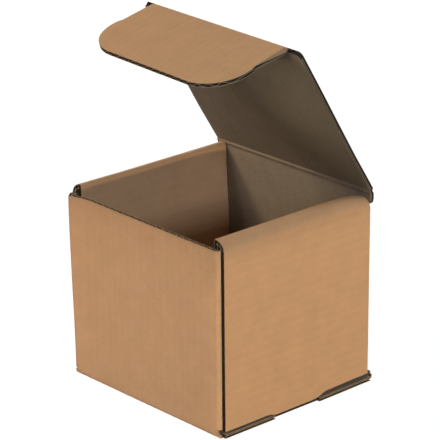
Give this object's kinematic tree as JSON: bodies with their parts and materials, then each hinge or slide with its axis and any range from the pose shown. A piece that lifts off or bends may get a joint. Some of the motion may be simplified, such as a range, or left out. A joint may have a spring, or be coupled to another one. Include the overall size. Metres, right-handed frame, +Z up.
{
  "type": "corrugated mailer box",
  "caption": "Folded corrugated cardboard mailer box with rolled side walls, a hinged lid and a tuck-in flap, lid standing open.",
  "frame": {"origin": "centre of the base's underside, on the surface that the box stands on", "axes": "+X along the front wall to the right seen from the front, +Y from the front wall to the back wall where the lid is hinged, +Z up"},
  "size_m": [0.145, 0.1308, 0.2429],
  "materials": {
    "kraft_board": "matte"
  },
  "bodies": {
    "tray": {"tray": "kraft_board"},
    "lid": {"lid": "kraft_board"},
    "tuck_flap": {"tuck_flap": "kraft_board"}
  },
  "joints": [
    {"name": "lid_hinge", "type": "hinge", "parent": "tray", "child": "lid", "pos_m": [0, 0.06395, 0.13375], "axis": [-1, 0, 0], "range_deg": [-59.7, 79]},
    {"name": "flap_fold", "type": "hinge", "parent": "lid", "child": "tuck_flap", "pos_m": [0, 0.00103, 0.24142], "axis": [-1, 0, 0], "range_deg": [-55.6, 73.5]}
  ],
  "couplings": [
    {"joint": "flap_fold", "follows": "lid_hinge", "ratio": 0.93}
  ]
}
